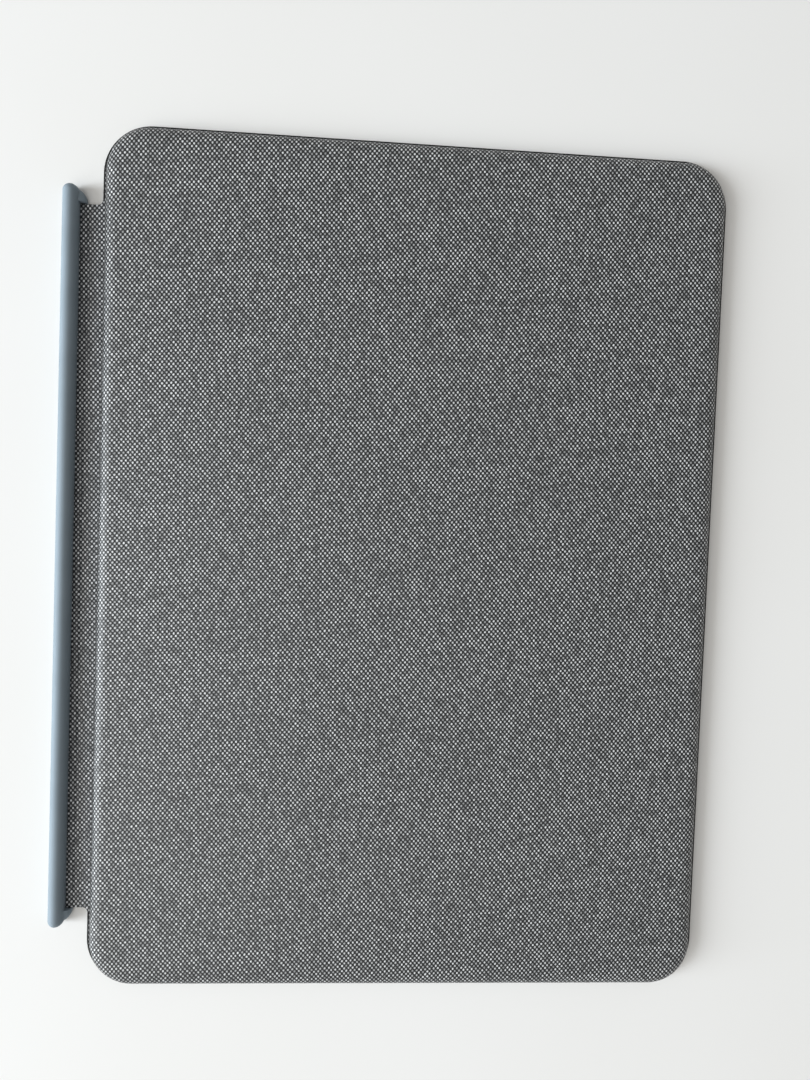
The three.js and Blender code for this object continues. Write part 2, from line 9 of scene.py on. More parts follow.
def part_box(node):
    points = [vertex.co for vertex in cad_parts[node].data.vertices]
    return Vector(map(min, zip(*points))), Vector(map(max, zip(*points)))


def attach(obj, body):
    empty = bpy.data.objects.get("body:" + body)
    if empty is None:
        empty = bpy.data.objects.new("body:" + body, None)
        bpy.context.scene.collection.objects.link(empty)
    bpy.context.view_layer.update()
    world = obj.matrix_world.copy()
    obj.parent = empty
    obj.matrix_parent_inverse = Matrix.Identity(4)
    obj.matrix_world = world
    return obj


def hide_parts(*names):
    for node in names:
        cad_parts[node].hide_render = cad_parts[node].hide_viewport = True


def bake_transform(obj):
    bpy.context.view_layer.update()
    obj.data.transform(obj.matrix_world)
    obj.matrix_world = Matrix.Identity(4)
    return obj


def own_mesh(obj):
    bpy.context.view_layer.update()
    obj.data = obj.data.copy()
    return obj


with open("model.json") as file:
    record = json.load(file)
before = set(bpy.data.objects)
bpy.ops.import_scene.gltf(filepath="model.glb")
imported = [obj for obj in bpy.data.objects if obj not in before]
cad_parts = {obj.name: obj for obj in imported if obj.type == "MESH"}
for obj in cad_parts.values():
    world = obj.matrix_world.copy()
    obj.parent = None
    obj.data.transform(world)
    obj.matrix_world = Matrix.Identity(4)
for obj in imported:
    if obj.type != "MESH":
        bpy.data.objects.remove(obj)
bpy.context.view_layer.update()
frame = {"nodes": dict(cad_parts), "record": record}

MM = 0.001

# ---------------------------------------------------------------- sizes, in millimetres unless said

CORNER_RADIUS = 14.0
HINGE_GAP = 0.65  # from the panel's hinge edge to the crease where the neck starts
RIM_TOP = 1.1
SKIN = 0.42
SEALED_SHADE_EDGE = 0.45  # width of the dark border round the cloth: a sealed cut edge, painted darker still as shade
CREASE_DEPTH = 0.24  # of the pressed line between the rim and the crown
CROWN_TOP = 5.8
CROWN_START = 1.5  # from the panel's edge to the wall of the raised back
CROWN_ROUND = 2.5
CROWN_SPREAD = 4.0  # how far in from the wall the rounding reaches
PRESSED_SHADE_TOP = 5.1  # up to here the crown's wall is darkened as painted shade for its shadowed side; the band is also hot-pressed
PRESSED_SHADE_FADE = 1.0

DECK_SKIN = 0.45  # the deck's cloth where the frame lies on it
DECK_EDGE = 0.63  # and along its border, which meets the back's cloth
DECK_BORDER = 2.2
WELL_MARGIN = 1.2  # how far the deck's cloth laps the key web
WELL_CORNER = 3.0
PAD_GAP = 0.4  # round the trackpad
PAD_CORNER = 4.0

NECK_HALF = 102.8
NECK_FLARE = 1.5
NECK_CLOTH_BOTTOM = 0.65
LINING_TOP = 0.64
TUCK = 0.9  # how far the neck's cloth goes in under the barrel
GROOVE_DEPTH = 0.2
GROOVE_WIDTH = 0.22

BARREL_WIDTH = 4.5
BARREL_WAIST = 2.7  # height at which the barrel is widest
BARREL_UNDERCUT = 0.75  # how far its sides draw in at the bottom
LIP_CORNER = 4.4
LIP_SHORTFALL = 0.3
LIP_END_TOP = 1.3
LIP_TOP = 0.45  # under the neck
LIP_ROOT = 1.2  # how far the lip and the shoulders go in under the barrel
SHOULDER_FOOT = 0.5
SHOULDER_DEPTH = 2.6
SHOULDER_HEIGHT = 3.6
CHANNEL_TOP = 5.0  # of the hollow that holds the spine's inner parts
CHANNEL_GAP = 0.04

STRIP_COUNTS = {
    "row_function": 14, "row_numbers": 12, "row_upper_letters": 12,
    "row_home_letters": 11, "row_lower_letters": 10,
}
STRIP_PITCH = 17.0
CAP_CORNER = 1.6
LETTER_SIZE = 3.9
WORD_SIZE = 2.5
LOW_CAP_SIZE = 2.3  # of any legend on a cap less deep than LOW_CAP_DEPTH
LOW_CAP_DEPTH = 8.0
DOME_FOOT = 2.4
DOME_SHEET = 0.2
DOME_CORNER = 1.5

# Weave: pitch of one thread crossing each way, and how far the threads lean off square.
PITCH_ACROSS = 0.64
PITCH_ALONG = 0.757
LEAN_ACROSS = math.radians(1.5)
LEAN_ALONG = math.radians(6.5)

panel_low, panel_high = (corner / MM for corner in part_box("deck_fabric"))
spine_low, spine_high = (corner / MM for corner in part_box("spine_shell"))
PANEL = (panel_low.x, panel_high.x, panel_low.y, panel_high.y)
HINGE_X = panel_low.x
CREASE_X = HINGE_X + HINGE_GAP
LIP_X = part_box("spine_fabric_tab")[1].x / MM
BARREL_SIDE_X = spine_low.x + BARREL_WIDTH
FOLD_1_X = HINGE_X
FOLD_2_X = LIP_X + HINGE_GAP
MID_NECK_X = (FOLD_1_X + FOLD_2_X) / 2
GROOVE_X = LIP_X + 0.2  # the cloth is pressed down in a fine line where the lip under it ends

# ---------------------------------------------------------------- node helpers


def add_node(tree, kind, values=None, **settings):
    """One shader node: settings are its properties, and values its inputs, as numbers or sockets to link."""
    made = tree.nodes.new(kind)
    for setting, value in settings.items():
        setattr(made, setting, value)
    for socket, value in (values or {}).items():
        if isinstance(value, bpy.types.NodeSocket):
            tree.links.new(value, made.inputs[socket])
        else:
            made.inputs[socket].default_value = value
    return made


def math_node(tree, operation, first, second=0.0):
    return add_node(tree, "ShaderNodeMath", {0: first, 1: second}, operation=operation).outputs[0]


def ramp(tree, value, stops):
    """A colour ramp: stops are (place, grey or colour)."""
    made = add_node(tree, "ShaderNodeValToRGB", {"Fac": value})
    elements = made.color_ramp.elements
    while len(elements) < len(stops):
        elements.new(0.5)
    for element, (place, tone) in zip(elements, stops):
        element.position = place
        element.color = (*tone, 1) if isinstance(tone, tuple) else (tone, tone, tone, 1)
    return made.outputs["Color"]


def noise(tree, vector, scale, detail, roughness=0.5):
    values = {"Vector": vector, "Scale": scale, "Detail": detail, "Roughness": roughness}
    return add_node(tree, "ShaderNodeTexNoise", values).outputs["Fac"]


def spread(tree, value, low, high):
    """Stretches a value that runs from 0 to 1, so that it runs from low to high."""
    return add_node(tree, "ShaderNodeMapRange", {"Value": value, "To Min": low, "To Max": high}).outputs[0]


def mixed(tree, blend_type, share, first, second):
    made = add_node(tree, "ShaderNodeMix", {"Factor": share}, data_type="RGBA", blend_type=blend_type)
    for socket, value in ((made.inputs[6], first), (made.inputs[7], second)):
        if isinstance(value, bpy.types.NodeSocket):
            tree.links.new(value, socket)
        else:
            socket.default_value = (*value, 1)
    return made.outputs[2]


def bump(tree, height, distance, strength, below=None):
    values = {"Height": height, "Distance": distance, "Strength": strength}
    if below is not None:
        values["Normal"] = below
    return add_node(tree, "ShaderNodeBump", values).outputs["Normal"]


def new_finish(name, **sockets):
    """A material with shader sockets set to plain values: (tree, shader, object coordinates, material)."""
    finish = bpy.data.materials.new(name)
    finish.use_nodes = True
    tree = finish.node_tree
    shader = tree.nodes["Principled BSDF"]
    for socket, value in sockets.items():
        shader.inputs[socket.replace("_", " ")].default_value = value
    place = tree.nodes.new("ShaderNodeTexCoord").outputs["Object"]
    return tree, shader, place, finish


# ---------------------------------------------------------------- finishes


def woven(name, light, dark, from_map=True):
    """Plain weave of coated cloth: light thread tops over dark ones, in step with the piece's cloth map."""
    tree, shader, place, finish = new_finish(
        name, Specular_IOR_Level=0.45, Sheen_Weight=0.1, Sheen_Roughness=0.4,
        Coat_Weight=0.26, Coat_Roughness=0.42)
    if from_map:
        place = add_node(tree, "ShaderNodeUVMap", uv_map="cloth").outputs["UV"]
    else:
        place = add_node(tree, "ShaderNodeVectorMath", {0: place, 3: 1 / MM}, operation="SCALE").outputs[0]
    waver = noise(tree, place, 0.35, 2.0)
    waver = math_node(tree, "MULTIPLY", math_node(tree, "SUBTRACT", waver, 0.5), 0.5)
    x, y, _ = add_node(tree, "ShaderNodeSeparateXYZ", {"Vector": place}).outputs

    def thread(x_part, y_part, pitch):
        along = math_node(tree, "ADD", math_node(tree, "MULTIPLY", x, x_part / pitch),
                          math_node(tree, "MULTIPLY", y, y_part / pitch))
        return math_node(tree, "ADD", along, waver)

    across = thread(math.cos(LEAN_ACROSS), math.sin(LEAN_ACROSS), PITCH_ACROSS)
    along = thread(-math.sin(LEAN_ALONG), math.cos(LEAN_ALONG), PITCH_ALONG)
    wave = [math_node(tree, "SINE", math_node(tree, "MULTIPLY", at, math.pi)) for at in (across, along)]
    crossing = math_node(tree, "MULTIPLY", *wave)
    cell = add_node(tree, "ShaderNodeCombineXYZ", {
        "X": math_node(tree, "FLOOR", across), "Y": math_node(tree, "FLOOR", along)}).outputs[0]
    own_tone = add_node(tree, "ShaderNodeTexWhiteNoise", {"Vector": cell},
                        noise_dimensions="3D").outputs["Value"]
    yarn = add_node(tree, "ShaderNodeTexWhiteNoise", {"W": math_node(tree, "FLOOR", along)},
                    noise_dimensions="1D").outputs["Value"]
    fibre = noise(tree, place, 9.0, 3.0, 0.7)
    fray = math_node(tree, "MULTIPLY", math_node(tree, "SUBTRACT", fibre, 0.5), 0.35)
    cover = ramp(tree, math_node(tree, "ADD", crossing, fray), [(0.12, 0.0), (0.46, 1.0)])
    # The mesh's attribute read here darkens the weave to 0.4 of its tone: painted shade on the crown's wall,
    # where the cloth is also hot-pressed.
    pressed_shade = add_node(tree, "ShaderNodeAttribute", attribute_name="pressed_shade").outputs["Fac"]
    by_thread = math_node(tree, "MULTIPLY", spread(tree, own_tone, 0.48, 1.22), spread(tree, yarn, 0.9, 1.06))
    by_place = math_node(tree, "MULTIPLY", spread(tree, noise(tree, place, 0.03, 2.0), 0.9, 1.1),
                         spread(tree, pressed_shade, 1.0, 0.4))
    tone = math_node(tree, "MULTIPLY", by_thread, by_place)
    grey = add_node(tree, "ShaderNodeCombineColor", {0: tone, 1: tone, 2: tone}).outputs[0]
    bright = mixed(tree, "MULTIPLY", 1.0, light, grey)
    tree.links.new(mixed(tree, "MIX", cover, dark, bright), shader.inputs["Base Color"])
    tree.links.new(spread(tree, cover, 0.55, 0.42), shader.inputs["Roughness"])
    relief = bump(tree, fibre, 0.00003, 0.4, bump(tree, crossing, 0.00009, 0.8))
    tree.links.new(relief, shader.inputs["Normal"])
    return finish


def moulded(name, colour, roughness, depth=0.00002, unevenness=0.12, **sockets):
    """Moulded plastic or rubber with a fine grain and slightly uneven colour and gloss."""
    tree, shader, place, finish = new_finish(name, **sockets)
    fine = noise(tree, place, 7200.0, 3.0, 0.6)
    broad = noise(tree, place, 75.0, 3.0, 0.55)
    low, high = (tuple(part * share for part in colour) for share in (1 - unevenness, 1 + unevenness))
    tree.links.new(mixed(tree, "MIX", broad, low, high), shader.inputs["Base Color"])
    tree.links.new(spread(tree, fine, roughness - 0.05, roughness + 0.08), shader.inputs["Roughness"])
    tree.links.new(bump(tree, fine, depth, 0.5), shader.inputs["Normal"])
    return finish


def rolled_metal(name, colour, roughness):
    """Sheet metal with rolling marks along the length."""
    tree, shader, place, finish = new_finish(name, Metallic=1.0)
    stretched = add_node(tree, "ShaderNodeMapping", {"Vector": place, "Scale": (1200, 30, 300)}).outputs[0]
    marks = noise(tree, stretched, 1.0, 4.0, 0.6)
    low, high = (tuple(part * share for part in colour) for share in (0.85, 1.08))
    tree.links.new(mixed(tree, "MIX", marks, low, high), shader.inputs["Base Color"])
    tree.links.new(spread(tree, marks, roughness - 0.08, roughness + 0.12), shader.inputs["Roughness"])
    tree.links.new(bump(tree, marks, 0.00001, 0.3), shader.inputs["Normal"])
    return finish


def circuit(name):
    """Solder mask over a grid of copper tracks."""
    tree, shader, place, finish = new_finish(name, Specular_IOR_Level=0.5)
    tracks = add_node(tree, "ShaderNodeTexBrick", {
        "Vector": place, "Scale": 180.0, "Mortar Size": 0.03,
        "Brick Width": 1.2, "Row Height": 0.4}).outputs["Fac"]
    mask, copper = (0.012, 0.045, 0.025), (0.03, 0.09, 0.045)
    tree.links.new(mixed(tree, "MIX", tracks, mask, copper), shader.inputs["Base Color"])
    tree.links.new(spread(tree, tracks, 0.4, 0.28), shader.inputs["Roughness"])
    tree.links.new(bump(tree, tracks, 0.00003, 0.5), shader.inputs["Normal"])
    return finish


FINISHES = {
    "back_woven": woven("back_cloth", (0.58, 0.59, 0.595), (0.006, 0.007, 0.008)),
    # The neck's cloth is the back's weave painted lighter: painted light that makes up for the shade the
    # barrel and the crown cast on the neck.
    "neck_woven": woven("neck_cloth_painted_light", (0.72, 0.74, 0.765), (0.014, 0.017, 0.021)),
    "deck_woven": woven("deck_cloth", (0.40, 0.42, 0.43), (0.016, 0.018, 0.021), from_map=False),
    "neck_lining": moulded("lining", (0.085, 0.10, 0.115), 0.6),
    "spine_polymer": moulded("spine_elastomer", (0.245, 0.30, 0.345), 0.65, Specular_IOR_Level=0.25),
    "key_plastic": moulded("keycap_plastic", (0.045, 0.053, 0.062), 0.5),
    "well_plastic": moulded("well_plastic", (0.085, 0.097, 0.11), 0.55),
    "frame_plastic": moulded("frame_plastic", (0.02, 0.022, 0.025), 0.6),
    "trackpad_surface": moulded("trackpad_glass", (0.095, 0.11, 0.125), 0.3, depth=0.000004, unevenness=0.03),
    "sheet_metal": rolled_metal("steel_sheet", (0.45, 0.47, 0.48), 0.4),
    "aluminium_sheet": rolled_metal("aluminium_sheet", (0.60, 0.61, 0.62), 0.38),
    "spring_steel": rolled_metal("spring_steel", (0.33, 0.34, 0.35), 0.34),
    "magnet_nickel": rolled_metal("magnet_plating", (0.57, 0.55, 0.51), 0.2),
    "contact_gold": rolled_metal("contact_plating", (0.75, 0.50, 0.16), 0.22),
    "circuit_board": circuit("solder_mask"),
    "chip_epoxy": moulded("chip_epoxy", (0.012, 0.012, 0.013), 0.5),
    "cable_film": moulded("cable_film", (0.33, 0.10, 0.02), 0.35, unevenness=0.2),
    "clear_film": moulded("clear_film", (0.70, 0.76, 0.78), 0.22, Transmission_Weight=0.6),
    "silicone": moulded("dome_silicone", (0.75, 0.74, 0.70), 0.55, Subsurface_Weight=0.1),
}
# The cloth's border: a dark sealed edge, painted near-black as the shade that lies along the panel's outer
# edge.
SEALANT_AND_SHADE = moulded("edge_sealant_and_shade", (0.005, 0.0055, 0.006), 0.6, Specular_IOR_Level=0.15)
LEGEND_INK = moulded("legend_ink", (0.55, 0.57, 0.58), 0.5, unevenness=0.03)

# ---------------------------------------------------------------- mesh helpers


def rounded_face(bm, edges, radius, height, segments):
    """One flat face with rounded corners, edges = (x0, x1, y0, y1)."""
    x0, x1, y0, y1 = edges
    made = bmesh.ops.create_grid(bm, x_segments=1, y_segments=1, size=0.5)["verts"]
    face = made[0].link_faces[0]
    bmesh.ops.scale(bm, vec=(x1 - x0, y1 - y0, 1), verts=made)
    bmesh.ops.translate(bm, vec=((x0 + x1) / 2, (y0 + y1) / 2, height), verts=made)
    made = bmesh.ops.bevel(bm, geom=made, offset=radius, offset_type="OFFSET", affect="VERTICES",
                           segments=segments, profile=0.5, material=-1, clamp_overlap=False)
    return made["verts"][0].link_faces[0] if not face.is_valid else face


def core_point(point, edges, margin):
    """The nearest point of a rectangle that lies margin inside the edges."""
    x0, x1, y0, y1 = edges
    return Vector((min(max(point.x, x0 + margin), x1 - margin), min(max(point.y, y0 + margin), y1 - margin)))


def climb(bm, face, edges, radius, profile):
    """Carries a rounded face along a profile of (inset, height), leaving a ring of faces behind each step."""
    outward = [(vert.co.xy - core_point(vert.co, edges, radius)).normalized() for vert in face.verts]
    for step, (inset, height) in enumerate(profile):
        if step:
            face = bmesh.ops.extrude_discrete_faces(bm, faces=[face])["faces"][0]
        for vert, way in zip(face.verts, outward):
            corner = core_point(vert.co, edges, max(radius, inset))
            vert.co = (*(corner + way * max(radius - inset, 0)), height)
    return face


def plate(bm, edges, radius, profile, segments=8):
    """A closed rounded plate whose edge follows the profile, from its open side to its finished side."""
    before = set(bm.edges)
    face = rounded_face(bm, edges, radius, profile[0][1], segments)
    climb(bm, face, edges, radius, profile)
    rim = [edge for edge in bm.edges if edge.is_boundary and edge not in before]
    bmesh.ops.holes_fill(bm, edges=rim, sides=0)


def quarter(width, height, turn):
    """A point on a quarter of an ellipse: how far in, and how far up."""
    return width * (1 - math.cos(turn)), height * math.sin(turn)


def quarter_turns(steps):
    """The turns of a quarter circle, from 0 to 90 degrees."""
    return [step / steps * math.pi / 2 for step in range(steps + 1)]


def map_cloth(bm, place):
    """Writes the cloth map: place(point) gives where on the flat cloth a point lies, in millimetres."""
    layer = bm.loops.layers.uv.get("cloth") or bm.loops.layers.uv.new("cloth")
    for face in bm.faces:
        for loop in face.loops:
            loop[layer].uv = place(loop.vert.co)


def new_piece(name, bm, finish, body, nodes, smooth=35, finishes=()):
    """Turns a bmesh in millimetres into a piece that rides on a body and stands for CAD nodes."""
    bmesh.ops.remove_doubles(bm, verts=bm.verts, dist=1e-4)
    bmesh.ops.recalc_face_normals(bm, faces=bm.faces)
    bmesh.ops.scale(bm, vec=(MM, MM, MM), verts=bm.verts)
    mesh = bpy.data.meshes.new(name)
    bm.to_mesh(mesh)
    bm.free()
    mesh.shade_smooth()
    mesh.set_sharp_from_angle(angle=math.radians(smooth))
    piece = bpy.data.objects.new(name, mesh)
    bpy.context.scene.collection.objects.link(piece)
    mesh.materials.append(FINISHES[finish])
    for extra in finishes:
        mesh.materials.append(extra)
    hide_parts(*nodes)
    if body:
        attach(piece, body)
    return piece


def cut_away(bm, *cutters):
    """Cuts closed bmeshes out of a closed bmesh, and returns what is left."""
    def as_object(shape):
        bmesh.ops.recalc_face_normals(shape, faces=shape.faces)
        mesh = bpy.data.meshes.new("shape")
        shape.to_mesh(mesh)
        shape.free()
        made = bpy.data.objects.new("shape", mesh)
        bpy.context.scene.collection.objects.link(made)
        return made

    blank = as_object(bm)
    tools = [as_object(cutter) for cutter in cutters]
    for tool in tools:
        modifier = blank.modifiers.new("cut", "BOOLEAN")
        modifier.operation = "DIFFERENCE"
        modifier.solver = "EXACT"
        modifier.object = tool
    left = bmesh.new()
    left.from_object(blank, bpy.context.evaluated_depsgraph_get())
    for spent in (blank, *tools):
        bpy.data.objects.remove(spent)
    return left


def box_shape(x_range, y_range, z_range):
    bm = bmesh.new()
    bmesh.ops.create_cube(bm, size=1)
    ranges = (x_range, y_range, z_range)
    bmesh.ops.scale(bm, vec=[high - low for low, high in ranges], verts=bm.verts)
    bmesh.ops.translate(bm, vec=[(low + high) / 2 for low, high in ranges], verts=bm.verts)
    return bm


def plate_shape(*plate_args):
    bm = bmesh.new()
    plate(bm, *plate_args)
    return bm


# ---------------------------------------------------------------- the panel's cloth

# (inset, height) from the rim's lower edge over the rim, its crease and the wall to the crown.
BACK_PROFILE = [
    (0.0, 0.66), (0.0, 0.95), (0.05, 1.05), (0.16, RIM_TOP), (SEALED_SHADE_EDGE, RIM_TOP), (0.95, RIM_TOP),
    (1.12, RIM_TOP - 0.02), (1.3, RIM_TOP - CREASE_DEPTH), (1.44, RIM_TOP - CREASE_DEPTH + 0.02),
    *((CROWN_START + inset, CROWN_TOP - CROWN_ROUND + rise) for inset, rise in (
        quarter(CROWN_SPREAD, CROWN_ROUND, turn) for turn in quarter_turns(10))),
]


def cloth_place(point):
    """Unrolls the back's cloth: a point's place over the crown, wall and rim, measured along the cloth."""
    core = core_point(point, PANEL, CORNER_RADIUS)
    out = Vector((point.x, point.y)) - core
    if out.length < 1e-6:
        return core
    here = Vector((CORNER_RADIUS - out.length, point.z))
    ring = min(range(len(BACK_PROFILE)), key=lambda i: (Vector(BACK_PROFILE[i]) - here).length)
    run = CORNER_RADIUS - BACK_PROFILE[-1][0]
    for start, end in zip(BACK_PROFILE[ring:], BACK_PROFILE[ring + 1:]):
        run += math.dist(start, end)
    return core + out.normalized() * run


def edge_distance(point):
    """How far a point lies inside the panel's outline."""
    return CORNER_RADIUS - (point.xy - core_point(point, PANEL, CORNER_RADIUS)).length


def back_skin():
    """The back's cloth: a flat rim with a dark sealed border painted darker as shade, a pressed crease, and a
    rounded crown whose wall is darkened as painted shade.
    """
    bm = bmesh.new()
    lower_edge = rounded_face(bm, PANEL, CORNER_RADIUS, BACK_PROFILE[0][1], 24)
    climb(bm, lower_edge, PANEL, CORNER_RADIUS, BACK_PROFILE)
    map_cloth(bm, cloth_place)
    pressed_shade = bm.verts.layers.float.new("pressed_shade")
    # Painted shade: the weave is darkened up the crown's wall, fading out below the crown's top.
    for vert in bm.verts:
        vert[pressed_shade] = min(max((PRESSED_SHADE_TOP - vert.co.z) / PRESSED_SHADE_FADE, 0), 1)
    for face in bm.faces:
        # The outermost band of the cloth takes the near-black border finish: partly a sealed edge, partly
        # painted shade.
        face.material_index = int(edge_distance(face.calc_center_median()) < SEALED_SHADE_EDGE)

    # The rim gives way to the neck's cloth.
    notch = NECK_HALF + NECK_FLARE + 0.05
    for point, normal in (
            ((0, notch, 0), (0, 1, 0)), ((0, -notch, 0), (0, 1, 0)), ((CREASE_X, 0, 0), (1, 0, 0))):
        geometry = bm.verts[:] + bm.edges[:] + bm.faces[:]
        bmesh.ops.bisect_plane(bm, geom=geometry, plane_co=point, plane_no=normal)
    middles = {face: face.calc_center_median() for face in bm.faces}
    cut = [face for face, middle in middles.items() if middle.x < CREASE_X and abs(middle.y) < notch]
    bmesh.ops.delete(bm, geom=cut, context="FACES")
    piece = new_piece("back_skin", bm, "back_woven", "panel", ["back_fabric"], smooth=50, finishes=[SEALANT_AND_SHADE])
    thick = piece.modifiers.new("cloth_thickness", "SOLIDIFY")
    thick.thickness = SKIN * MM
    thick.offset = -1
    wrap = 2 * (cloth_place(Vector((PANEL[1], 0, BACK_PROFILE[0][1]))).x - PANEL[1])


def deck_skin():
    """The cloth round the keys and the trackpad."""
    bm = bmesh.new()
    plate(bm, PANEL, CORNER_RADIUS, [
        (DECK_BORDER, DECK_SKIN), (DECK_BORDER, DECK_EDGE), (0.05, DECK_EDGE), (0, DECK_EDGE - 0.05),
        (0, 0.14), (0.05, 0.05), (0.16, 0.0)], 24)
    well_low, well_high = (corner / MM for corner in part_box("key_web"))
    pad_low, pad_high = (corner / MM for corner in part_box("trackpad_surface"))
    well = (well_low.x + WELL_MARGIN, well_high.x - WELL_MARGIN,
            well_low.y + WELL_MARGIN, well_high.y - WELL_MARGIN)
    pad = (pad_low.x - PAD_GAP, pad_high.x + PAD_GAP, pad_low.y - PAD_GAP, pad_high.y + PAD_GAP)
    slot = (HINGE_X - 1, CREASE_X), (-NECK_HALF - NECK_FLARE, NECK_HALF + NECK_FLARE), (-1, 2)
    through = [(0, 2.0), (0, -1.0)]
    left = cut_away(bm, plate_shape(well, WELL_CORNER, through),
                    plate_shape(pad, PAD_CORNER + PAD_GAP, through), box_shape(*slot))
    piece = new_piece("deck_skin", left, "deck_woven", "panel", ["deck_fabric"])


# ---------------------------------------------------------------- the neck

RIM_RUN = HINGE_X - cloth_place(Vector((HINGE_X, 0, 0.95))).x  # lines the neck's weave up with the rim's
CLOTH_LEVELS = (NECK_CLOTH_BOTTOM, RIM_TOP)
LINING_LEVELS = (0.0, LINING_TOP)


def neck_strip(name, x_range, z_range, finish, nodes, flare=0.0, groove=False):
    """A flat strip of the neck's laminate."""
    x0, x1 = x_range
    z0, z1 = z_range
    bm = bmesh.new()
    columns, rows = max(6, round((x1 - x0) / 0.16)), 26
    made = bmesh.ops.create_grid(bm, x_segments=columns, y_segments=rows, size=0.5)["verts"]
    bmesh.ops.scale(bm, vec=(x1 - x0, 2 * NECK_HALF, 1), verts=made)
    bmesh.ops.translate(bm, vec=((x0 + x1) / 2, 0, z1), verts=made)
    for vert in made:
        if flare and abs(vert.co.y) > NECK_HALF - 0.1:
            reach = min(max(HINGE_X - vert.co.x, 0.0), flare)
            grown = flare - math.sqrt(flare ** 2 - (flare - reach) ** 2)
            vert.co.y += math.copysign(grown, vert.co.y)
    bmesh.ops.solidify(bm, geom=bm.faces[:], thickness=z1 - z0)
    if max(vert.co.z for vert in bm.verts) > z1 + 1e-4:
        bmesh.ops.translate(bm, vec=(0, 0, z0 - z1), verts=bm.verts)
    for vert in bm.verts:
        if groove and vert.co.z > z1 - 1e-3:
            vert.co.z -= GROOVE_DEPTH * math.exp(-((vert.co.x - GROOVE_X) / GROOVE_WIDTH) ** 2)
    map_cloth(bm, lambda point: (point.x - RIM_RUN, point.y))
    piece = new_piece(name, bm, finish, None, nodes, smooth=40)
    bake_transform(piece)


def neck():
    """The neck's woven cloth over its lining, each in two strips that meet midway."""
    crease = CREASE_X - 0.02
    neck_strip("neck_cloth_panel_side", (MID_NECK_X, crease), CLOTH_LEVELS, "neck_woven",
               ["neck_fabric"], flare=NECK_FLARE)
    neck_strip("neck_cloth_spine_side", (BARREL_SIDE_X - TUCK, MID_NECK_X), CLOTH_LEVELS, "neck_woven",
               ["spine_fabric_tab"], groove=True)
    neck_strip("neck_lining_panel_side", (MID_NECK_X, crease), LINING_LEVELS, "neck_lining",
               ["neck_liner"])
    neck_strip("neck_lining_spine_side", (LIP_X + 0.04, MID_NECK_X), LINING_LEVELS, "neck_lining",
               ["neck_liner"])


# ---------------------------------------------------------------- the spine


def spine():
    """The spine's rounded barrel, and the lip under the neck, which ends in two sloped shoulders."""
    edges = (spine_low.x, BARREL_SIDE_X, spine_low.y, spine_high.y)
    radius = BARREL_WIDTH / 2 - 0.002
    turns = quarter_turns(12)[1:]
    below = [quarter(BARREL_UNDERCUT, BARREL_WAIST, turn) for turn in reversed(turns[::2])]
    above = [quarter(radius - 0.06, spine_high.z - BARREL_WAIST, turn) for turn in turns]
    barrel_profile = [
        (BARREL_UNDERCUT + 0.12, 0.0), *((inset, BARREL_WAIST - drop) for inset, drop in below[1:]),
        (0, BARREL_WAIST), *((inset, BARREL_WAIST + rise) for inset, rise in above)]
    channel_low, channel_high = (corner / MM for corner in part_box("spine_face"))

    def channel():
        """What the spine's inner parts fill."""
        return box_shape((channel_low.x - CHANNEL_GAP, channel_high.x + CHANNEL_GAP),
                         (channel_low.y - CHANNEL_GAP, channel_high.y + CHANNEL_GAP), (-1, CHANNEL_TOP))

    new_piece("spine_barrel", cut_away(plate_shape(edges, radius, barrel_profile, 16), channel()),
              "spine_polymer", "spine", ["spine_shell"])

    lip_edges = (LIP_X - 10, LIP_X, spine_low.y + LIP_SHORTFALL, spine_high.y - LIP_SHORTFALL)
    inner_x = BARREL_SIDE_X - LIP_ROOT
    seat = NECK_HALF + 0.15
    lip_profile = [(0.08, 0.0), (0.0, 0.08), (0, LIP_END_TOP - 0.35), (0.1, LIP_END_TOP)]
    lip = cut_away(
        plate_shape(lip_edges, LIP_CORNER, lip_profile, 12),
        box_shape((LIP_X - 20, inner_x), (-200, 200), (-1, 9)),
        box_shape((inner_x - 1, LIP_X + 1), (-seat, seat), (LIP_TOP, 9)))
    new_piece("spine_lip", lip, "spine_polymer", "spine", ["spine_shell"])

    slope = [(0.3, 0.1), (0.0, SHOULDER_FOOT), *((inset, SHOULDER_FOOT + rise) for inset, rise in (
        quarter(SHOULDER_DEPTH, SHOULDER_HEIGHT - SHOULDER_FOOT, turn) for turn in turns))]
    for side, name in ((1, "far"), (-1, "near")):
        shoulder = plate_shape(lip_edges, LIP_CORNER, slope, 14)
        for point, normal in (((0, side * seat, 0), (0, -side, 0)), ((inner_x - 1, 0, 0), (-1, 0, 0))):
            geometry = shoulder.verts[:] + shoulder.edges[:] + shoulder.faces[:]
            made = bmesh.ops.bisect_plane(
                shoulder, geom=geometry, plane_co=point, plane_no=normal, clear_outer=True)
            cut_edges = [item for item in made["geom_cut"] if isinstance(item, bmesh.types.BMEdge)]
            bmesh.ops.holes_fill(shoulder, edges=cut_edges, sides=0)
        new_piece(f"spine_shoulder_{name}", cut_away(shoulder, channel()),
                  "spine_polymer", "spine", ["spine_shell"])


def contact_pins():
    """The three sprung contacts, each with a rounded tip."""
    for number in (1, 2, 3):
        low, high = (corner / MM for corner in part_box(f"contact_pin_{number}"))
        radius = (high.x - low.x) / 2
        bm = bmesh.new()
        plate(bm, (low.x, high.x, low.y, high.y), radius * 0.999,
              [(0, high.z), (0, low.z + 0.25), (radius * 0.15, low.z + 0.1), (radius * 0.4, low.z + 0.02),
               (radius * 0.6, low.z)], 6)
        new_piece(f"contact_tip_{number}", bm, "contact_gold", f"pin_{number}", [f"contact_pin_{number}"])


# ---------------------------------------------------------------- keys

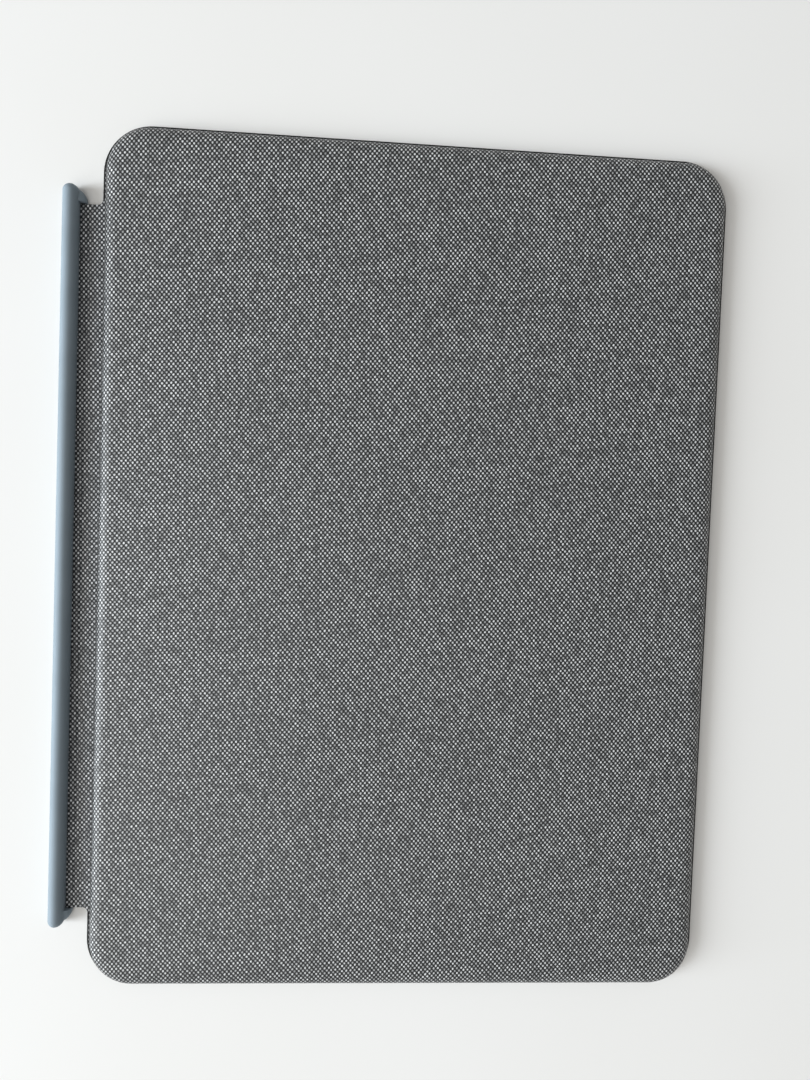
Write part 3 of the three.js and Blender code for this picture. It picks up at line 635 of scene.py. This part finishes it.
LEGENDS = {
    "row_function": ["esc", *(f"F{number}" for number in range(1, 13)), "lock"],
    "row_numbers": list("1234567890-="),
    "row_upper_letters": list("QWERTYUIOP[]"),
    "row_home_letters": list("ASDFGHJKL;'"),
    "row_lower_letters": list("ZXCVBNM,./"),
    "key_grave": ["`"], "key_delete": ["delete"], "key_tab": ["tab"], "key_backslash": ["\\"],
    "key_caps_lock": ["caps lock"], "key_return": ["return"], "key_shift_left": ["shift"],
    "key_shift_right": ["shift"], "key_globe": ["fn"], "key_control": ["ctrl"], "key_option_left": ["alt"],
    "key_command_left": ["cmd"], "key_space": [""], "key_command_right": ["cmd"], "key_option_right": ["alt"],
    "key_arrow_left": ["<"], "key_arrow_up": ["^"], "key_arrow_down": ["v"], "key_arrow_right": [">"],
}


def letter_shape(text, size, thickness):
    """A line of raised letters, as a mesh in millimetres lying in the XY plane."""
    curve = bpy.data.curves.new("letters", "FONT")
    curve.body = text
    curve.size = size
    curve.align_x, curve.align_y = "CENTER", "CENTER"
    curve.extrude = thickness
    curve.resolution_u = 2
    letters = bpy.data.objects.new("letters", curve)
    bpy.context.scene.collection.objects.link(letters)
    depsgraph = bpy.context.evaluated_depsgraph_get()
    mesh = bpy.data.meshes.new_from_object(letters.evaluated_get(depsgraph))
    bpy.data.objects.remove(letters)
    return mesh


def add_legend(bm, text, centre, depth, finger_level):
    """Puts a legend on a cap. The typist's right is -Y and up is -X, seen from below."""
    size = LETTER_SIZE if len(text) == 1 else WORD_SIZE
    if depth < LOW_CAP_DEPTH:
        size = min(size, LOW_CAP_SIZE)
    mesh = letter_shape(text, size, 0.02)
    face_down = ((0, -1, 0, centre[0]), (-1, 0, 0, centre[1]), (0, 0, -1, finger_level + 0.005), (0, 0, 0, 1))
    mesh.transform(Matrix(face_down))
    before = len(bm.faces)
    bm.from_mesh(mesh)
    bpy.data.meshes.remove(mesh)
    bm.faces.ensure_lookup_table()
    for face in bm.faces[before:]:
        face.material_index = 1


# (inset, depth behind the finger side): a crisp moulded edge and a shallow dish.
CAP_PROFILE = [(0.06, 0.5), (0.12, 0.22), (0.24, 0.07), (0.42, 0.0), (1.1, 0.012), (1.9, 0.045), (2.9, 0.065)]


def keycap(bm, edges, low, high):
    """One cap, from its back to its dished finger side."""
    profile = [(0.0, high), *((inset, low + depth) for inset, depth in CAP_PROFILE)]
    plate(bm, edges, min(CAP_CORNER, (edges[1] - edges[0]) / 4), profile, 4)


def cap_edges(node):
    """The four edges of each cap in a node, in the order of its legends."""
    low, high = (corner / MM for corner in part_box(node))
    count = STRIP_COUNTS.get(node, 1)
    length = (high.y - low.y) - (count - 1) * STRIP_PITCH
    tops = [high.y - place * STRIP_PITCH for place in range(count)]
    return [(low.x, high.x, top - length, top) for top in tops]


def piece_name(kind, node):
    """caps_NAME for a row of caps, and cap_NAME for a single one."""
    return f"{kind}s_{node[4:]}" if node in STRIP_COUNTS else f"{kind}_{node[4:]}"


def keys():
    """Every cap, with its legend in another plastic."""
    bodies = {members[0]: body for body, members in frame["record"]["behaviour"]["bodies"].items()}
    for node, legends in LEGENDS.items():
        low, high = (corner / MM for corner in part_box(node))
        bm = bmesh.new()
        for edges, text in zip(cap_edges(node), legends):
            keycap(bm, edges, low.z, high.z)
            if text:
                centre = ((edges[0] + edges[1]) / 2, (edges[2] + edges[3]) / 2)
                add_legend(bm, text, centre, high.x - low.x, low.z + 0.05)
        new_piece(piece_name("cap", node), bm, "key_plastic", bodies[node], [node], finishes=[LEGEND_INK])


def domes():
    """The silicone sheet behind the caps, and its domes."""
    low, high = (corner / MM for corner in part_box("dome_sheet"))
    seat = high.z - DOME_SHEET
    sheet = plate_shape((low.x, high.x, low.y, high.y), DOME_CORNER, [(0, seat), (0, high.z)])
    new_piece("dome_sheet_flat", sheet, "silicone", "panel", ["dome_sheet"])
    profile = [(0, seat - 0.01), (0.1, seat - 0.1), (0.45, seat - 0.45), (0.75, low.z + 0.3),
               (0.9, low.z + 0.08), (1.05, low.z), (1.7, low.z + 0.05)]
    for node in LEGENDS:
        bm = bmesh.new()
        for x0, x1, y0, y1 in cap_edges(node):
            x, y = (x0 + x1) / 2, (y0 + y1) / 2
            foot = (x - DOME_FOOT, x + DOME_FOOT, y - DOME_FOOT, y + DOME_FOOT)
            plate(bm, foot, DOME_FOOT * 0.999, profile, 5)
        piece = new_piece(piece_name("dome", node), bm, "silicone", "panel", ["dome_sheet"])
        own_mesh(piece)


def trackpad():
    """The trackpad's glass plate, with a softened edge."""
    low, high = (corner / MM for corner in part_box("trackpad_surface"))
    bm = bmesh.new()
    plate(bm, (low.x, high.x, low.y, high.y), PAD_CORNER,
          [(0, high.z), (0, low.z + 0.2), (0.05, low.z + 0.07), (0.18, low.z)], 12)
    new_piece("trackpad_plate", bm, "trackpad_surface", "trackpad", ["trackpad_surface"])


# ---------------------------------------------------------------- stage

FLOOR_HALF = 1.5
FLOOR_DROP = 0.0001
ROOM_LIGHT = 0.34

# Camera in the row frame, in metres.
EYE = Vector((-0.01383, 0.0193, 0.2545))
FORWARD = Vector((0.0695, -0.0388, -0.9968)).normalized()
RIGHT = Vector((0.9970, 0.0364, 0.0680)).normalized()


def camera():
    """A short lens close above the part."""
    data = bpy.data.cameras.new("camera")
    data.lens = 28.33
    data.sensor_width = 36
    data.sensor_fit = "AUTO"
    data.clip_start = 0.005
    eye = bpy.data.objects.new("camera", data)
    up = RIGHT.cross(FORWARD)
    axes = Matrix((RIGHT, up, -FORWARD)).transposed().to_4x4()
    eye.matrix_world = Matrix.Translation(EYE) @ axes
    bpy.context.scene.collection.objects.link(eye)
    bpy.context.scene.camera = eye


def soft_light(name, place, size, power, colour):
    """A rectangular light that points at the origin."""
    data = bpy.data.lights.new(name, "AREA")
    data.shape = "RECTANGLE"
    data.size, data.size_y = size
    data.energy = power
    data.color = colour
    light = bpy.data.objects.new(name, data)
    light.location = place
    light.rotation_euler = (-Vector(place)).to_track_quat("-Z", "Y").to_euler()
    bpy.context.scene.collection.objects.link(light)


def stage():
    """A plain pale floor, a low window on the spine's side, a broad skylight and an even room."""
    bm = bmesh.new()
    bmesh.ops.create_grid(bm, x_segments=1, y_segments=1, size=FLOOR_HALF)
    mesh = bpy.data.meshes.new("floor")
    bm.to_mesh(mesh)
    bm.free()
    tree, shader, place, finish = new_finish("floor_paint", Roughness=0.8)
    paint = [(0.3, (0.80, 0.79, 0.772)), (0.7, (0.825, 0.818, 0.805))]
    tree.links.new(ramp(tree, noise(tree, place, 6.0, 2.0), paint), shader.inputs["Base Color"])
    mesh.materials.append(finish)
    floor = bpy.data.objects.new("floor", mesh)
    floor.location.z = -FLOOR_DROP
    bpy.context.scene.collection.objects.link(floor)

    soft_light("window", (-2.2, -0.35, 0.62), (0.85, 2.4), 92.0, (0.87, 0.94, 1.0))
    soft_light("skylight", (-1.2, -0.6, 1.4), (2.2, 2.2), 25.0, (1.0, 0.99, 0.96))
    world = bpy.data.worlds.new("room")
    world.use_nodes = True
    background = world.node_tree.nodes["Background"]
    background.inputs["Color"].default_value = (1.0, 0.99, 0.965, 1)
    background.inputs["Strength"].default_value = ROOM_LIGHT
    bpy.context.scene.world = world
    bpy.context.scene.view_settings.view_transform = "Standard"


# ---------------------------------------------------------------- put together

for entry in frame["record"]["subparts"]:
    node_mesh = frame["nodes"][entry["node"]].data
    node_mesh.materials.clear()
    node_mesh.materials.append(FINISHES[entry["material_slot"]])

camera()
stage()
back_skin()
deck_skin()
neck()
spine()
contact_pins()
keys()
domes()
trackpad()
